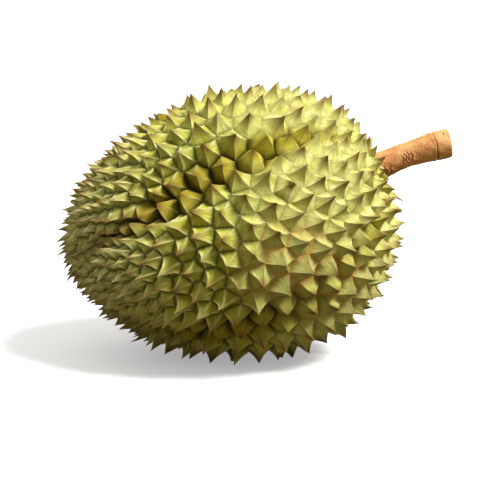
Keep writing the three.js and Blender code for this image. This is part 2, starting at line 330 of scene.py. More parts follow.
def thorn_facts(middle_points, ring):
    """Where one thorn stands and ends, how blunt it is, and which corners carry its ridges."""
    corners = cad_points[ring]
    foot = corners.mean(axis=0)
    tip = cad_points[sorted(middle_points)].mean(axis=0)
    normal = point_normals[ring].sum(axis=0)
    normal /= np.linalg.norm(normal)
    from_stem, _, groove = growth(foot)
    is_pressed = bool(middle_points & pressed)
    blossom = fade(*BLOSSOM_END, from_stem)
    near_stem = 1 - fade(*STEM_END, from_stem)
    blunt = BLUNTEST * fade(*BLUNT_DEPTH, groove) * fade(*BLUNT_START, from_stem)
    blunt = 0 if is_pressed else blunt
    rise = tip - foot
    tall = np.linalg.norm(rise)
    chance, size_chance = rng.uniform(), rng.uniform(*SIZE_CHANCE)
    factor = TALLER * (1 + BLOSSOM_TALLER * blossom) * (1 - GROOVE_LOWER * blunt) * size_chance
    sky = np.array([0, 0, 1.0]) - normal[2] * normal
    laid_back = 1 - BLOSSOM_LAID_BACK * blossom
    upright = UPRIGHT * fade(*UPRIGHT_FACING, normal[2]) * (1 - near_stem) * laid_back
    stray = CHANCE_LEAN + (BLOSSOM_CHANCE_LEAN - CHANCE_LEAN) * blossom
    end = foot + rise * factor + sky * tall * upright + rng.normal(0, stray, 3) * tall
    broken = rng.uniform() < BROKEN and not is_pressed and blossom < BLOSSOM_WHOLE
    if broken:
        end = foot + (end - foot) * BROKEN_HEIGHT
        blunt = max(blunt, BROKEN_BLUNT)
    if is_pressed:
        end = foot + rise * PRESSED_REACH
    return dict(
        foot=foot, tip=end, normal=normal, blunt=blunt, chance=chance, broken=broken,
        pressed=is_pressed, ring=ring, ridges=main_ridges(corners, foot),
    )


thorns = [thorn_facts(middle, ring) for middle, ring in zip(thorn_middles, rings)]
heights = np.array([np.linalg.norm(one["tip"] - one["foot"]) for one in thorns])
print("thorn heights in mm:", (heights.min() / MM).round(1), "to", (heights.max() / MM).round(1))
print("with five ridges:", sum(len(one["ridges"]) == MOST_RIDGES for one in thorns))

# %% [markdown]
# ## The valleys between the thorns
#
# Neighbouring thorns meet in a valley, a crease that runs from corner to corner. It sags a
# little between its ends, it is never quite straight, and in a groove it is deep and dark. The
# points of a valley belong to both thorns beside it, which keeps the whole husk one closed skin.

# %% Points of the skin, and what each one knows
FACTS = ("ridge", "valley", "rise", "tip", "groove", "chance", "along", "russet")
RUSSET_PLACES = np.array([[28, -102, 92], [66, -76, 78], [-60, 62, 60], [10, 84, 150]]) * MM
RUSSET_SIZE = 58 * MM
RUSSET_HEART = 0.3  # share of that size where the russet is at its thickest
UNEVEN = 0.5 * MM  # how far the skin swells and sinks by chance
UNEVEN_SIZE = 7 * MM  # and over what distance
PRESSED_HEIGHT = 4 * MM  # the skin below this lies too near the ground to be uneven
NOISE_SEED = 7  # without a seed of its own the noise would start from the time of day
smooth_noise.seed_set(NOISE_SEED)

skin_points = []
skin_flat = []  # the same points let down onto the body, for places on the bake image
skin_facts = []


def add_point(place, flat, ridge, rise, tip, chance, valley=0.0):
    """Adds one point of the skin with its facts, and returns its number."""
    place = np.array(place, dtype=float)
    from_stem, _, groove = growth(flat)
    if 0 < rise < 1 and place[2] > PRESSED_HEIGHT:
        swelling = np.array(smooth_noise.noise_vector(Vector(place / UNEVEN_SIZE)))
        place += UNEVEN * swelling
    place[2] = max(place[2], 0.0)
    russet_distance = np.linalg.norm(RUSSET_PLACES - flat, axis=1).min()
    russet = 1 - fade(RUSSET_HEART, 1.0, russet_distance / RUSSET_SIZE)
    skin_points.append(place)
    skin_flat.append(flat)
    skin_facts.append((ridge, valley, rise, tip, groove, chance, from_stem / math.pi, russet))
    return len(skin_points) - 1


print("each point knows its", ", ".join(FACTS))

# %% Corners of the valleys
VALLEY_DEPTH = 0.5 * MM
GROOVE_DEPTH = 4.0 * MM
SINKING = 0.45, 0.9  # depths in a groove between which the corners sink by that much
CORNER_RIDGE = 0.6  # how far the ridges reach into the corner that they end in
NO_THORN = 0.5  # the chance fact of points that no single thorn owns

corner_numbers = {}
for corner in sorted({int(point) for ring in rings + [seat_ring] for point in ring}):
    flat = cad_points[corner]
    sunk = VALLEY_DEPTH + GROOVE_DEPTH * fade(*SINKING, growth(flat)[2])
    sunk = 0 if corner in seat_ring else sunk
    place = flat - point_normals[corner] * sunk
    corner_numbers[corner] = add_point(place, flat, CORNER_RIDGE, 0, 0, NO_THORN, valley=1)
print(len(corner_numbers), "corners where three thorns meet")

# %% Points along the valleys
VALLEY_STEP = 2.0 * MM
FEWEST_STEPS, MOST_STEPS = 2, 8
VALLEY_SAG = 0.045  # how deep a valley sags in its middle, as a share of its length
VALLEY_WANDER = 0.035  # and how far it strays sideways there

valley_rows = {}


def valley_row(start, end):
    """The numbers of the points from one corner to the next, shared by both thorns beside them."""
    if (end, start) in valley_rows:
        return valley_rows[(end, start)][::-1]
    if (start, end) not in valley_rows:
        first, last = (skin_points[corner_numbers[corner]] for corner in (start, end))
        flat_first, flat_last = cad_points[start], cad_points[end]
        length = np.linalg.norm(last - first)
        steps = int(np.clip(round(length / VALLEY_STEP), FEWEST_STEPS, MOST_STEPS))
        inward = -(point_normals[start] + point_normals[end]) / 2
        sideways = np.cross(inward, last - first) * rng.normal(0, VALLEY_WANDER)
        sag = VALLEY_SAG * (1 + growth((flat_first + flat_last) / 2)[2])
        seated = start in seat_ring and end in seat_ring
        row = [corner_numbers[start]]
        for along in np.linspace(0, 1, steps + 1)[1:-1]:
            bow = 0 if seated else math.sin(math.pi * along)
            place = first + (last - first) * along + (inward * length * sag + sideways) * bow
            flat = flat_first + (flat_last - flat_first) * along + sideways * bow
            row.append(add_point(place, flat, 0, 0, 0, NO_THORN, valley=1))
        row.append(corner_numbers[end])
        valley_rows[(start, end)] = row
    return valley_rows[(start, end)]


print("valleys take a point every", VALLEY_STEP / MM, "mm")

# %% [markdown]
# ## Raising the thorns
#
# A thorn's base has five to eight corners, but only the four or five most prominent of them
# carry a ridge up to the tip, which is what makes a durian's thorn look like a cut pyramid. Each
# side is a strip of rows from the valley to the tip. Rows near the tip need fewer points, so two
# rows with different counts are zipped together with triangles. Each corner of a triangle also
# gets two numbers, one round the thorn and one down its side, which the material later uses for
# fine fibres that run down from the tip.

# %% Strips of triangles
skin_triangles = []
fibre_places = []


def zip_rows(lower, upper, lower_places, upper_places):
    """Triangles between two rows of points with any counts. Places are for the fibres."""
    low, high = 0, 0
    low_last, high_last = len(lower) - 1, len(upper) - 1
    while low < low_last or high < high_last:
        low_is_behind = low < low_last and (low + 1) * high_last <= (high + 1) * low_last
        if high == high_last or low_is_behind:
            skin_triangles.append((lower[low], lower[low + 1], upper[high]))
            fibre_places.append((lower_places[low], lower_places[low + 1], upper_places[high]))
            low += 1
        else:
            skin_triangles.append((lower[low], upper[high + 1], upper[high]))
            fibre_places.append((lower_places[low], upper_places[high + 1], upper_places[high]))
            high += 1


print("triangles before the first thorn:", len(skin_triangles))


# %% The valley line around a thorn
class BaseLine:
    """The closed valley line around one thorn, measured by the length walked along it."""

    def __init__(self, thorn):
        ring = thorn["ring"]
        self.rows = [valley_row(start, end) for start, end in zip(ring, ring[1:] + ring[:1])]
        numbers = [number for row in self.rows for number in row[:-1]]
        self.places = np.array([skin_points[number] for number in numbers + numbers[:1]])
        self.flats = np.array([skin_flat[number] for number in numbers + numbers[:1]])
        steps = np.linalg.norm(np.diff(self.places, axis=0), axis=1)
        self.walked = np.concatenate([[0], np.cumsum(steps)])
        self.corner_index = np.cumsum([0] + [len(row) - 1 for row in self.rows])
        self.ridge_walks = [self.walked[self.corner_index[ridge]] for ridge in thorn["ridges"]]
        self.ridge_places = [self.places[self.corner_index[ridge]] for ridge in thorn["ridges"]]

    def at(self, walk, table):
        """The place in a table of points that a walk of this length leads to."""
        return np.array([np.interp(walk, self.walked, table[:, axis]) for axis in range(3)])

    def between_ridges(self, walk):
        """The point straight between the ridges on both sides, how far along it lies, and how
        far the nearer ridge is."""
        total = self.walked[-1]
        after = next((k for k, ridge in enumerate(self.ridge_walks) if ridge > walk + 1e-9), 0)
        before = after - 1
        start, end = self.ridge_walks[before], self.ridge_walks[after]
        span = (end - start) % total
        share = ((walk - start) % total) / span
        place = self.ridge_places[before] * (1 - share) + self.ridge_places[after] * share
        return place, share, min(share, 1 - share) * span


print("thorns to walk around:", len(thorns))

# %% Raising one thorn
ROWS = (1.0, 0.86, 0.71, 0.56, 0.42, 0.29, 0.17, 0.07, 0.0)  # outward shares, valley to tip
ROW_THINNING = 0.8  # how fast the rows lose points towards the tip
BASE_HOLD = 3  # how fast the rows leave the real valley line for the straight-sided one
RIDGE_SHARPNESS = 1.6  # lower is sharper
CURL = 1.5  # a leaning thorn starts upright and leans later; 1 would be straight
RIDGE_WIDTH = 1.2 * MM
VALLEY_WIDTH = 2.0 * MM
TIP_SHARE = 0.5  # share of the thorn that can be dry at its tip
BROKEN_DRYNESS = 2
FIBRE_SHIFT = 1000 * MM  # moves each thorn's fibres to another part of the pattern


def raise_thorn(thorn):
    """Adds the points and triangles of one thorn to the skin."""
    base_line = BaseLine(thorn)
    foot, normal = thorn["foot"], thorn["normal"]
    rise = thorn["tip"] - foot
    upward = (rise @ normal) * normal
    slant = np.mean(np.linalg.norm(base_line.places - thorn["tip"], axis=1))
    dryness = 0 if thorn["pressed"] else BROKEN_DRYNESS if thorn["broken"] else 1

    def point_at(walk, outward):
        """Adds the point at a walk around the thorn and an outward share."""
        straight, share, ridge_distance = base_line.between_ridges(walk)
        keep = outward**BASE_HOLD
        base = straight * (1 - keep) + base_line.at(walk, base_line.places) * keep
        between = 1 - abs(2 * share - 1) ** RIDGE_SHARPNESS
        height = height_share(outward, thorn["blunt"], between)
        curl = np.sign(height) * abs(height) ** CURL
        place = foot + upward * height + (rise - upward) * curl + (base - foot) * outward
        flat = foot + (base_line.at(walk, base_line.flats) - foot) * outward
        ridge = math.exp(-((ridge_distance * outward / RIDGE_WIDTH) ** 2))
        valley = math.exp(-(((1 - outward) * slant / VALLEY_WIDTH) ** 2))
        dry = max(0.0, 1 - outward / TIP_SHARE) * dryness
        return add_point(place, flat, ridge, 1 - outward, dry, thorn["chance"], valley=valley)

    columns = []
    for row, index in zip(base_line.rows, base_line.corner_index):
        walk = base_line.walked[index]
        columns.append([row[0]] + [point_at(walk, outward) for outward in ROWS[1:-1]])
    columns.append(columns[0])
    tip = add_point(thorn["tip"], foot, 1, 1, dryness, thorn["chance"])

    fibre_start = FIBRE_SHIFT * thorn["chance"]
    for side, row in enumerate(base_line.rows):
        start, end = (base_line.walked[base_line.corner_index[side + step]] for step in (0, 1))
        pieces = len(row) - 1
        numbers, walks = row, np.linspace(start, end, pieces + 1)
        fibres = [(fibre_start + walk, 0.0) for walk in walks]
        for level, outward in enumerate(ROWS[1:], start=1):
            if outward == 0:
                above, walks = [tip], [(start + end) / 2]
            else:
                fewer = max(1, round(pieces * outward**ROW_THINNING))
                walks = np.linspace(start, end, fewer + 1)
                inner = [point_at(walk, outward) for walk in walks[1:-1]]
                above = [columns[side][level]] + inner + [columns[side + 1][level]]
            above_fibres = [(fibre_start + walk, (1 - outward) * slant) for walk in walks]
            zip_rows(numbers, above, fibres, above_fibres)
            numbers, fibres = above, above_fibres


print("rows of a thorn:", len(ROWS))

# %% Raising all the thorns
thorn_of_triangle = []
for index, thorn in enumerate(thorns):
    raise_thorn(thorn)
    thorn_of_triangle.extend([index] * (len(skin_triangles) - len(thorn_of_triangle)))
print("skin so far:", len(skin_points), "points,", len(skin_triangles), "triangles")

# %% [markdown]
# ## The collar
#
# Where the stem enters, the husk closes around it in a low, slightly torn lip. A separate ring
# could be laid around the stem, but it would show a seam. So the lip is part of the same skin:
# rows of points rise from the ring of corners around the seat, turn over at the lip's edge and
# go down inside it to the seat.

# %% Collar
COLLAR_ROWS = (  # distance from the stem's axis and height above the seat, in mm
    (13.0, 1.2), (13.7, 2.6), (13.8, 3.8), (13.3, 4.8), (12.7, 4.7), (12.3, 3.4), (12.2, 1.6),
    (11.9, 0.05),
)
COLLAR_EDGE = (3, 4)  # the rows along the lip's edge
EDGE_RIDGE, SIDE_RIDGE = 0.9, 0.3  # how pale the lip's edge and its sides are
COLLAR_RISE = 0.5
LIP_WAVES = ((0.28, 3, 0.6), (0.16, 7, 2.0), (0.1, 13, 0.0))  # size, count around, shift

side_one = np.cross(seat_direction, np.array([0, 0, 1.0]))
side_one /= np.linalg.norm(side_one)
side_two = np.cross(seat_direction, side_one)

numbers = []
for start, end in zip(seat_ring, seat_ring[1:] + seat_ring[:1]):
    numbers.extend(valley_row(start, end)[:-1])
offsets = [skin_points[number] - seat_middle for number in numbers]
turns = np.array([math.atan2(offset @ side_two, offset @ side_one) for offset in offsets])
lip = np.ones_like(turns)
for size, count, shift in LIP_WAVES:
    lip += size * np.sin(count * turns + shift)
seat_reach = np.mean(np.linalg.norm(offsets, axis=1))
numbers = numbers + numbers[:1]
fibres = [(step * MM, 0.0) for step in range(len(numbers))]
for level, (radius, height) in enumerate(COLLAR_ROWS, start=1):
    row = []
    for turn, share in zip(turns, lip):
        across = side_one * math.cos(turn) + side_two * math.sin(turn)
        place = seat_middle + across * radius * MM + seat_direction * height * share * MM
        flat = seat_middle + across * seat_reach * (1 - level / (len(COLLAR_ROWS) + 1))
        pale = EDGE_RIDGE if level - 1 in COLLAR_EDGE else SIDE_RIDGE
        row.append(add_point(place, flat, pale, COLLAR_RISE, 0, NO_THORN))
    above = row + row[:1]
    above_fibres = [(step * MM, level * MM) for step in range(len(numbers))]
    zip_rows(numbers, above, fibres, above_fibres)
    numbers, fibres = above, above_fibres
centre = add_point(seat_middle, seat_middle, 0, 0, 0, NO_THORN)
zip_rows(numbers, [centre], fibres, [(0.0, 0.0)])
thorn_of_triangle.extend([len(thorns)] * (len(skin_triangles) - len(thorn_of_triangle)))
print("skin with collar:", len(skin_triangles), "triangles")

# %% Husk mesh
CREASE_ANGLE = math.radians(24)


def mesh_object(name, points, triangles):
    """An object made of triangles, smooth except where they meet at more than a crease."""
    mesh = bpy.data.meshes.new(name)
    corners = [tuple(int(point) for point in one) for one in triangles]
    mesh.from_pydata([tuple(point) for point in points], [], corners)
    mesh.shade_smooth()
    mesh.set_sharp_from_angle(angle=CREASE_ANGLE)
    made = bpy.data.objects.new(name, mesh)
    bpy.context.collection.objects.link(made)
    return made


def keep_facts(mesh, names, rows):
    """Stores one number per point under each name, for the materials to read."""
    for column, name in enumerate(names):
        values = mesh.attributes.new(name, "FLOAT", "POINT")
        values.data.foreach_set("value", np.array([row[column] for row in rows], dtype=np.float32))


def keep_map(mesh, name, corner_places):
    """Stores one flat place per corner of each triangle."""
    layer = mesh.uv_layers.new(name=name)
    layer.data.foreach_set("uv", np.array(corner_places, dtype=np.float32).reshape(-1))


husk = mesh_object("husk_skin", skin_points, skin_triangles)
keep_facts(husk.data, FACTS, skin_facts)
keep_map(husk.data, "fibres", fibre_places)
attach(husk, "root")
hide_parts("husk")
print("husk size in mm:", [round(value / MM, 1) for value in husk.dimensions])

# %% [markdown]
# ## Places on the bake image
#
# When the fruit is used outside Blender its colours are baked onto one square image, so every
# triangle needs a place there. An automatic unwrap would cut the skin into thousands of tiny
# islands. It is better to lay the skin's thorns down onto the body, and the body onto the six
# faces of a cube around it, with each thorn kept whole on one face.

# %% Unfolding onto a cube
CELL_ROOM = 0.8  # leaves a margin for thorns that reach over the edge of their face
SMALLEST_DEPTH = 0.02


def cube_places():
    """Flat places for the corners of each triangle, three columns and two rows of faces."""
    flats = np.array(skin_flat) - BODY_MIDDLE
    feet = np.array([one["foot"] for one in thorns] + [seat_middle]) - BODY_MIDDLE
    axes = np.argmax(np.abs(feet), axis=1)
    signs = np.sign(feet[np.arange(len(feet)), axes])
    corners = flats[np.array(skin_triangles)]
    owner = np.array(thorn_of_triangle)
    axis, sign = axes[owner][:, None], signs[owner][:, None]
    turned = [
        np.take_along_axis(corners, ((axis + step) % 3)[:, :, None], axis=2)[:, :, 0]
        for step in range(3)
    ]
    depth = np.maximum(turned[0] * sign, SMALLEST_DEPTH)
    across, along = (
        np.arctan2(turned[step], depth) / (math.pi / 2) * CELL_ROOM + 0.5 for step in (1, 2)
    )
    return np.stack([(axis + across) / 3, ((sign < 0) + along) / 2], axis=2)


husk_places = cube_places()
keep_map(husk.data, "OFBake", husk_places)
print("bake places from", husk_places.min().round(3), "to", husk_places.max().round(3))

# %% [markdown]
# ## The stem
#
# The stem is a dry woody stalk that was cut off square. It is a little thicker where it enters
# the husk and again past the ring-shaped scar near its end. On the real thing the bark has
# shrunk around the wood, so it lies in fine crossways wrinkles with a few deep folds. A curve
# with a bevel would give the tube, but folds and scar need points that can be moved one by one,
# so the tube is built in rings along the arc that the CAD stem follows.

# %% The arc of the stem
stem_points, stem_triangles = joined(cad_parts["stem"])
stem_beside = neighbours(stem_triangles, len(stem_points))
base_centre, cut_centre = sorted(
    sorted(range(len(stem_points)), key=lambda point: -len(stem_beside[point]))[:2],
    key=lambda point: np.linalg.norm(stem_points[point] - seat_middle),
)
stem_start, stem_end = stem_points[base_centre], stem_points[cut_centre]
chord = stem_end - stem_start
sideways = np.cross(seat_direction, chord)
sideways /= np.linalg.norm(sideways)
bend_side = np.cross(sideways, seat_direction)  # the side the stem bends towards
bend_angle = 2 * math.atan2(chord @ bend_side, chord @ seat_direction)
bend_radius = np.linalg.norm(chord) / (2 * math.sin(bend_angle / 2))


def stem_place(along, turn, radius):
    """A point of the stem: a share along its arc, a turn around it from the front, a radius."""
    angle = bend_angle * along
    off_centre = seat_direction * math.sin(angle) + bend_side * (1 - math.cos(angle))
    forward = seat_direction * math.cos(angle) + bend_side * math.sin(angle)
    front = -sideways if sideways[1] > 0 else sideways
    upper = np.cross(front, forward)
    upper = upper if upper[2] > 0 else -upper
    outward = front * math.cos(2 * math.pi * turn) + upper * math.sin(2 * math.pi * turn)
    return stem_start + bend_radius * off_centre + radius * outward


stem_length = bend_radius * bend_angle
print("stem", round(stem_length / MM, 1), "mm, bent by", round(math.degrees(bend_angle)), "degrees")

# %% Measures of the bark
STEM_RADIUS = (  # share of the length, and radius there in mm
    (0.0, 11.5), (0.02, 11.75), (0.07, 11.5), (0.16, 10.9), (0.3, 10.3), (0.45, 10.2), (0.58, 10.5),
    (0.68, 11.2), (0.79, 11.8), (0.86, 12.1), (0.94, 12.1), (0.985, 11.95), (1.0, 11.5),
)
BARK_RELIEF = 0.16 * MM
# Slow swellings: size, how often around the stem, how often along it, shift.
SWELLINGS = ((1.0, 3, 9, 0.0), (0.7, 5, -21, 1.3), (0.5, 8, 34, 0.0))
FINE_WRINKLES = 150  # how often along the stem
WRINKLE_BENDS = ((2.2, 2, 4), (0.9, 7, 0))  # size, how often around, how often along
WRINKLE_LEAST, WRINKLE_MORE = 0.1, 0.18  # height everywhere, and more where they are strongest
WRINKLES_AT, WRINKLES_REACH = 0.5, 0.25
LOWER_SIDE = -0.9  # the lower front side, as an angle around the stem from its front
SCAR_AT, SCAR_WIDTH, SCAR_DEPTH = 0.81, 0.009, 1.25 * MM
SCAR_WAVER, SCAR_SHIVER = 0.006, 0.003  # how far its line strays, slowly and quickly
SCAR_LIP, LIP_WIDTH, LIP_HEIGHT = 0.02, 0.012, 0.45 * MM
# The least scar, lip, crack and red-brown away from the lower side; the red-brown is partly painted
# shade.
LEAST_SCAR, LEAST_LIP, LEAST_CRACK, LEAST_RED_SHADE = 0.25, 0.5, 0.35, 0.35
# Where along the stem the red-brown, partly painted shade, is strongest, and how far it reaches.
RED_SHADE_AT, RED_SHADE_REACH = 0.2, 0.25
# Deep folds: place along the stem, turn around it, half length and half width, all as shares.
FOLDS = (
    (0.44, 0.0, 0.06, 0.011), (0.48, -0.02, 0.07, 0.012), (0.4, -0.01, 0.055, 0.011),
    (0.36, -0.02, 0.045, 0.01), (0.17, -0.12, 0.1, 0.014), (0.11, -0.08, 0.09, 0.012),
)
FOLD_DEPTH = 0.85 * MM
FOLD_BEND, FOLD_WAVES = 0.012, 70  # how far a fold wavers along the stem, and how often
FOLD_SLANT, FOLD_DARKNESS = 0.5, 0.5
RIM_AWAY, RIM_HEIGHT = 1.7, 0.7  # the rim beside a fold, in widths and in depths of the fold
# A faint seam slants from the top down to the scar: where it starts and ends, both as shares.
SEAM_FROM, SEAM_TO, SEAM_TURN, SEAM_REACH = 0.72, 0.8, 0.17, 0.16
SEAM_WIDTH, SEAM_DEPTH = 0.007, 0.2 * MM
NICK_AT, NICK_TURN, NICK_LENGTH, NICK_WIDTH, NICK_DEPTH = 0.93, 0.16, 0.022, 0.007, 0.7 * MM
NICK_SLANT = 0.25
CHIP_TURN, CHIP_WIDTH, CHIP_FROM, CHIP_DEPTH = -0.3, 0.035, 0.955, 2.6 * MM


def stem_radius(along):
    """Radius of the stem in metres at a share of its length."""
    places, radii = np.array(STEM_RADIUS).T
    return float(np.interp(along, places, radii)) * MM


print("stem radius in mm:", [round(stem_radius(along) / MM, 1) for along in (0, 0.5, 1)])

# %% Relief of the bark
def swell(value, middle, width):
    """1 at the middle, fading to 0 on both sides of it."""
    return math.exp(-(((value - middle) / width) ** 2))


def turn_apart(first, second):
    """Difference of two turns, counted in whole turns, from -0.5 to 0.5."""
    return (first - second + 0.5) % 1 - 0.5


def wrinkles(along, wave):
    """Slow swellings of the bark and the fine crossways wrinkles on them."""
    slow = sum(
        size * math.sin(wave * around + along * down + shift)
        for size, around, down, shift in SWELLINGS
    )
    bent = sum(
        size * math.sin(wave * around + down * along) for size, around, down in WRINKLE_BENDS
    )
    strength = WRINKLE_LEAST + WRINKLE_MORE * swell(along, WRINKLES_AT, WRINKLES_REACH)
    return slow + math.sin(along * FINE_WRINKLES + bent) * strength


def at_least(least, share):
    """A share from 0 to 1, squeezed in above its least value."""
    return least + (1 - least) * share


def bark_relief(along, turn):
    """Height of the bark in metres, how dark a crack it shows, and how much red-brown it gets,
    partly redder bark and partly painted shade, at a place.
    """
    wave = 2 * math.pi * turn
    lower = 0.5 + 0.5 * math.cos(wave - LOWER_SIDE)  # 1 on the lower front side, 0 opposite
    relief = BARK_RELIEF * wrinkles(along, wave)
    scar_line = SCAR_AT + SCAR_WAVER * math.sin(wave * 2 + 1) + SCAR_SHIVER * math.sin(wave * 5)
    scar = swell(along, scar_line, SCAR_WIDTH) * at_least(LEAST_SCAR, lower)
    lip = swell(along, scar_line - SCAR_LIP, LIP_WIDTH) * at_least(LEAST_LIP, lower)
    relief += LIP_HEIGHT * lip - SCAR_DEPTH * scar
    crack = scar * at_least(LEAST_CRACK, lower)
    for place, middle_turn, length, width in FOLDS:
        away = turn_apart(turn, middle_turn)
        line = place + FOLD_BEND * math.sin(away * FOLD_WAVES) + FOLD_SLANT * away * width
        hollow = swell(away, 0, length) * swell(along, line, width)
        rim = swell(away, 0, length) * swell(along, line + RIM_AWAY * width, width)
        relief += FOLD_DEPTH * (RIM_HEIGHT * rim - hollow)
        crack = max(crack, FOLD_DARKNESS * hollow)
    down = turn_apart(turn, SEAM_TURN) / -SEAM_REACH
    if 0 < down < 1:
        relief -= SEAM_DEPTH * swell(along, SEAM_FROM + (SEAM_TO - SEAM_FROM) * down, SEAM_WIDTH)
    away = turn_apart(turn, NICK_TURN)
    nick = swell(along, NICK_AT + NICK_SLANT * away, NICK_WIDTH) * swell(away, 0, NICK_LENGTH)
    relief -= NICK_DEPTH * nick
    # Red-brown on the lower side, strongest near the base: partly a redder bark, partly painted
    # shade.
    red_shade = lower**2 * at_least(LEAST_RED_SHADE, swell(along, RED_SHADE_AT, RED_SHADE_REACH))
    return relief, min(1.0, max(crack, nick)), red_shade


print("scar relief in mm:", round(bark_relief(SCAR_AT, 0.9)[0] / MM, 2))

# %% Rings, bands and ends
STEM_RINGS, STEM_SIDES = 150, 128
CUT_RINGS = (  # share of the radius, and share of the length beyond the end
    (0.97, 0.004), (0.9, 0.007), (0.72, 0.005), (0.5, 0.006), (0.25, 0.002),
)
# Shares of the bake image: the bark's height, one ring of the cut end, and both round ends.
BARK_SHARE, CUT_STEP, END_RADIUS = 0.78, 0.004, 0.09
BASE_SPOT, CUT_SPOT = (0.15, 0.89), (0.45, 0.89)
CUT_MIDDLE = 1.003  # the middle of the cut, as a share of the length

bark_points, bark_facts, bark_triangles, bark_places = [], [], [], []


def add_ring(along, radius, cut):
    """One ring of points. Returns their numbers, with the first again at the end."""
    first = len(bark_points)
    for side in range(STEM_SIDES):
        turn = side / STEM_SIDES
        relief, crack, red_shade = (0.0, 0.0, 0.0) if cut else bark_relief(along, turn)
        chip = swell(turn_apart(turn, CHIP_TURN), 0, CHIP_WIDTH) * fade(CHIP_FROM, 1.0, along)
        bark_points.append(stem_place(along, turn, radius + relief - CHIP_DEPTH * chip))
        bark_facts.append((crack, float(cut), red_shade))
    return [first + side for side in range(STEM_SIDES)] + [first]


def join_rings(lower, upper, low, high):
    """The band between two rings. low and high are its heights on the bake image."""
    for side in range(STEM_SIDES):
        a, b, c, d = lower[side], lower[side + 1], upper[side + 1], upper[side]
        left, right = side / STEM_SIDES, (side + 1) / STEM_SIDES
        bark_triangles.extend(((a, c, b), (a, d, c)))
        bark_places.append(((left, low), (right, high), (right, low)))
        bark_places.append(((left, low), (left, high), (right, high)))


def close_end(ring, hub_place, turned_over, spot):
    """A fan from a ring to one point, on its own round spot of the bake image."""
    bark_points.append(hub_place)
    bark_facts.append((0.0, 1.0, 0.0))
    hub = len(bark_points) - 1
    angles = [2 * math.pi * side / STEM_SIDES for side in range(STEM_SIDES + 1)]
    rim = [
        (spot[0] + END_RADIUS * math.cos(angle), spot[1] + END_RADIUS * math.sin(angle))
        for angle in angles
    ]
    for side in range(STEM_SIDES):
        first, second = (side + 1, side) if turned_over else (side, side + 1)
        bark_triangles.append((ring[first], ring[second], hub))
        bark_places.append((rim[first], rim[second], spot))


print("each ring has", STEM_SIDES, "points")

# %% The stem from base to cut
alongs = np.linspace(0, 1, STEM_RINGS)
bark_rings = [add_ring(along, stem_radius(along), cut=False) for along in alongs]
for first, second, low, high in zip(bark_rings, bark_rings[1:], alongs, alongs[1:]):
    join_rings(first, second, low * BARK_SHARE, high * BARK_SHARE)
close_end(bark_rings[0], stem_place(0, 0, 0), False, BASE_SPOT)
outer, height = bark_rings[-1], BARK_SHARE
for share, beyond in CUT_RINGS:
    inner = add_ring(1 + beyond, stem_radius(1) * share, cut=True)
    join_rings(outer, inner, height, height + CUT_STEP)
    outer, height = inner, height + CUT_STEP
close_end(outer, stem_place(CUT_MIDDLE, 0, 0), True, CUT_SPOT)
print("stem:", len(bark_points), "points,", len(bark_triangles), "triangles")

# %% Stem mesh
stem = mesh_object("stem_bark", bark_points, bark_triangles)
keep_facts(stem.data, ("crack", "cut", "red_shade"), bark_facts)
keep_map(stem.data, "OFBake", bark_places)
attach(stem, "root")
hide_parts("stem")
print("stem size in mm:", [round(value / MM, 1) for value in stem.dimensions])

# %% [markdown]
# ## Small tools for materials
#
# A material is a graph of nodes. These helpers make a node, give it its values and hand back
# its output, so that a recipe reads like a sum: patches of one colour over another, then fibres,
# then dry tips. The nodes could also be placed by hand in the shader editor.

# %% Helpers that put values and colours together
def feed(tree, socket, value):
    """Links a socket to another, or sets its value."""
    if isinstance(value, bpy.types.NodeSocket):
        tree.links.new(value, socket)
    elif isinstance(value, tuple) and len(value) == 3 and socket.type == "RGBA":
        socket.default_value = (*value, 1)
    else:
        socket.default_value = value


def blend(tree, share, under, over, how="MIX"):
    """One colour over another."""
    node = tree.nodes.new("ShaderNodeMix")
    node.data_type = "RGBA"
    node.blend_type = how
    factor, first, second = (node.inputs[number] for number in (0, 6, 7))
    for socket, value in ((factor, share), (first, under), (second, over)):
        feed(tree, socket, value)
    return node.outputs[2]


def work_out(tree, what, first, second):
    """Two values put together by ADD, MULTIPLY, POWER, MINIMUM or MAXIMUM."""
    node = tree.nodes.new("ShaderNodeMath")
    node.operation = what
    feed(tree, node.inputs[0], first)
    feed(tree, node.inputs[1], second)
    return node.outputs[0]


def times(tree, first, second):
    """One value times another."""
    return work_out(tree, "MULTIPLY", first, second)


def between(tree, value, low, high, out_low=0.0, out_high=1.0):
    """0 below low, 1 above high and smooth between, or other two values."""
    node = tree.nodes.new("ShaderNodeMapRange")
    node.interpolation_type = "SMOOTHSTEP"
    names = ("Value", "From Min", "From Max", "To Min", "To Max")
    for name, number in zip(names, (value, low, high, out_low, out_high)):
        feed(tree, node.inputs[name], number)
    return node.outputs["Result"]


print("helpers:", ", ".join(one.__name__ for one in (feed, blend, work_out, times, between)))

# %% Helpers that read places and patterns
NOISE_ROUGHNESS = 0.6


def stored(tree, name):
    """A value that the mesh keeps for each of its points."""
    node = tree.nodes.new("ShaderNodeAttribute")
    node.attribute_name = name
    return node.outputs["Fac"]


def flat_place(tree, name):
    """A flat place that the mesh keeps for each corner of a triangle."""
    node = tree.nodes.new("ShaderNodeUVMap")
    node.uv_map = name
    return node.outputs[0]


def object_place(tree):
    """The place on the object itself, in metres."""
    return tree.nodes.new("ShaderNodeTexCoord").outputs["Object"]


def noise(tree, place, scale, detail, distortion=0.0):
    """A cloudy pattern with this many spots to the metre."""
    node = tree.nodes.new("ShaderNodeTexNoise")
    names = ("Vector", "Scale", "Detail", "Roughness", "Distortion")
    for name, value in zip(names, (place, scale, detail, NOISE_ROUGHNESS, distortion)):
        feed(tree, node.inputs[name], value)
    return node.outputs["Fac"]


print("helpers:", ", ".join(one.__name__ for one in (stored, flat_place, object_place, noise)))

# %% [markdown]
# ## Effects that both finishes share
#
# Rind and bark are both mottled, and both are made of fibres. Each effect is a node group with
# named inputs, built once. The mottling is noise in the object's own space. The fibres are
# noise that is squeezed across and drawn out along, in flat places that follow the surface.

